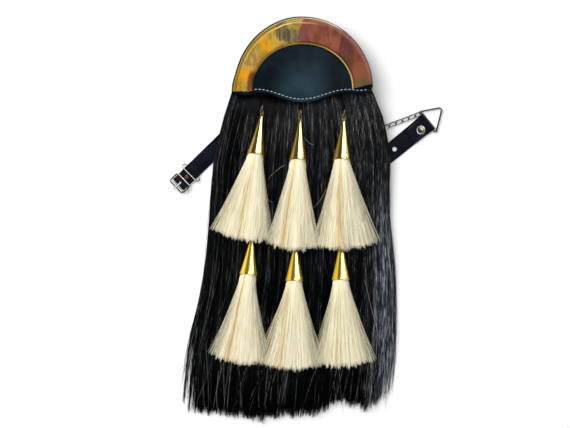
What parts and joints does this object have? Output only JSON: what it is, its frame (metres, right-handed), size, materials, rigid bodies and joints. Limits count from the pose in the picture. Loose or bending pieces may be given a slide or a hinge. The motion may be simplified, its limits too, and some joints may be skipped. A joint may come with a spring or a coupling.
{
  "type": "horsehair sporran pouch",
  "caption": "Dress sporran lying on its back: leather pouch with an arched brass cantle, long black horsehair and white tassels in brass cones, with strap ends, buckle and ring.",
  "frame": {"origin": "on the pouch's flat back wall, below the middle of the cantle's arch", "axes": "+Z out of the front, +Y towards the top of the cantle, +X to the right as seen from the front"},
  "size_m": [0.3205, 0.4713, 0.0532],
  "materials": {
    "leather_black": "smooth blue-black strap and panel leather, satin",
    "brass": "polished brass with olive and copper-red tarnish",
    "horsehair_black": "long straight black horsehair, glossy",
    "horsehair_white": "long straight cream horsehair with tan streaks",
    "steel": "plain bright steel wire and rivet head",
    "dark_steel": "dulled dark steel wire",
    "copper": "pink copper rivet head"
  },
  "bodies": {
    "root": {"pouch": "leather_black", "hair": "horsehair_black", "front_panel": "leather_black", "cantle": "brass", "strap_left": "leather_black", "side_bar_left": "steel", "buckle_frame": "steel", "buckle_prong": "steel", "keeper": "steel", "keeper_stud": "copper", "strap_right": "leather_black", "strap_rivet": "steel", "triangle_ring": "dark_steel", "strap_chain": "steel", "side_loop_right": "steel", "cone_upper_left": "brass", "brush_upper_left": "horsehair_white", "cone_lower_left": "brass", "brush_lower_left": "horsehair_white", "tassel_chain_left": "brass", "lower_hanger_left": "brass", "cone_upper_middle": "brass", "brush_upper_middle": "horsehair_white", "cone_lower_middle": "brass", "brush_lower_middle": "horsehair_white", "tassel_chain_middle": "brass", "lower_hanger_middle": "brass", "cone_upper_right": "brass", "brush_upper_right": "horsehair_white", "cone_lower_right": "brass", "brush_lower_right": "horsehair_white", "tassel_chain_right": "brass", "lower_hanger_right": "brass"}
  },
  "joints": []
}
